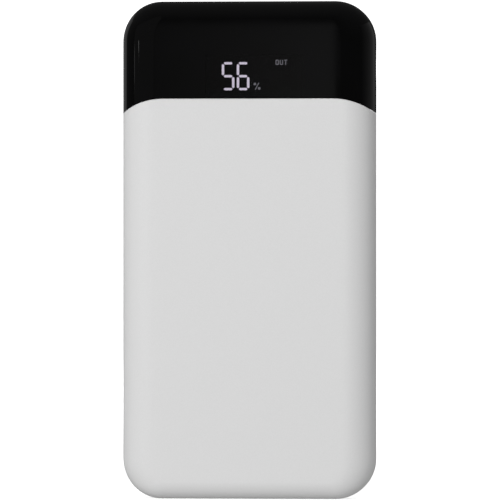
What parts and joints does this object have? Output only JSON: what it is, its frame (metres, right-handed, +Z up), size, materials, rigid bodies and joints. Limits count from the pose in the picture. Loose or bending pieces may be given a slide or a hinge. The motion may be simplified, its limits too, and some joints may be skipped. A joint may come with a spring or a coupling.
{
  "type": "power bank",
  "caption": "Slim round-sided power bank: pale matte case, glossy dark hood with a lit charge display, flush side power button and charging sockets in the top end.",
  "frame": {"origin": "centre of the flat foot that the power bank stands on, at the end away from the sockets", "axes": "+Z up towards the sockets, -Y out of the front face with the display, +X towards the power button"},
  "size_m": [0.072, 0.019, 0.141],
  "materials": {
    "glossy_black": "polished moulding",
    "pale_matte": "fine spark-eroded texture",
    "black_matte": "fine matte",
    "grey_plastic": "plain moulded",
    "circuit_board": "solder mask",
    "screw_steel": "zinc plated",
    "socket_steel": "nickel plated sheet",
    "socket_white": "moulded",
    "contact_gold": "gold plated",
    "light_lit": "translucent, lit from behind",
    "light_dark": "translucent, unlit",
    "icon_grey": "translucent, dimly lit",
    "mask_film": "printed film",
    "foam": "closed-cell foam",
    "chip_black": "moulded package",
    "ferrite": "pressed ferrite",
    "can_aluminium": "drawn can",
    "ceramic_tan": "fired",
    "switch_steel": "stamped sheet",
    "switch_white": "moulded",
    "pouch_foil": "laminated pouch",
    "adhesive": "double-sided sheet",
    "tab_nickel": "rolled strip",
    "amber_tape": "insulating film",
    "lead_red": "silicone insulation",
    "lead_black": "silicone insulation",
    "solder": "solder fillet",
    "sensor_bead": "coated bead"
  },
  "bodies": {
    "case": {"top_hood": "glossy_black", "front_shell": "pale_matte", "back_shell": "pale_matte", "port_bezel": "black_matte", "chassis": "grey_plastic", "main_board": "circuit_board", "board_screws": "screw_steel", "display_housing": "black_matte", "lit_bars": "light_lit", "dark_bars": "light_dark", "display_icons": "icon_grey", "display_gasket": "foam", "display_mask": "mask_film", "usb_a_shell_left": "socket_steel", "usb_a_shell_right": "socket_steel", "usb_a_tongue_left": "socket_white", "usb_a_tongue_right": "socket_white", "usb_a_contacts_left": "contact_gold", "usb_a_contacts_right": "contact_gold", "usb_c_shell": "socket_steel", "usb_c_tongue": "black_matte", "usb_c_contacts": "contact_gold", "switch_body": "chip_black", "switch_cover": "switch_steel", "switch_dome": "switch_steel", "charge_chip": "chip_black", "control_chip": "chip_black", "power_transistors": "chip_black", "boost_inductor": "ferrite", "polymer_capacitors": "can_aluminium", "ceramic_capacitors": "ceramic_tan", "small_resistors": "chip_black", "front_cell": "pouch_foil", "back_cell": "pouch_foil", "cell_adhesive": "adhesive", "cell_tabs": "tab_nickel", "protection_board": "circuit_board", "protection_chips": "chip_black", "temperature_sensor": "sensor_bead", "insulation_tape": "amber_tape", "front_foam": "foam", "back_foam": "foam", "positive_lead": "lead_red", "negative_lead": "lead_black", "lead_solder": "solder"},
    "button": {"power_button": "glossy_black"},
    "plunger": {"switch_plunger": "switch_white"}
  },
  "joints": [
    {"name": "button_press", "type": "slide", "parent": "case", "child": "button", "axis": [-1, 0, 0], "range_m": [0, 0.00035], "stiffness_N_per_m": 3000, "springref_m": -0.0001},
    {"name": "plunger_press", "type": "slide", "parent": "case", "child": "plunger", "axis": [-1, 0, 0], "range_m": [0, 0.00035], "deforming": ["switch_dome"]}
  ],
  "couplings": [
    {"joint": "plunger_press", "follows": "button_press", "ratio": 1}
  ]
}
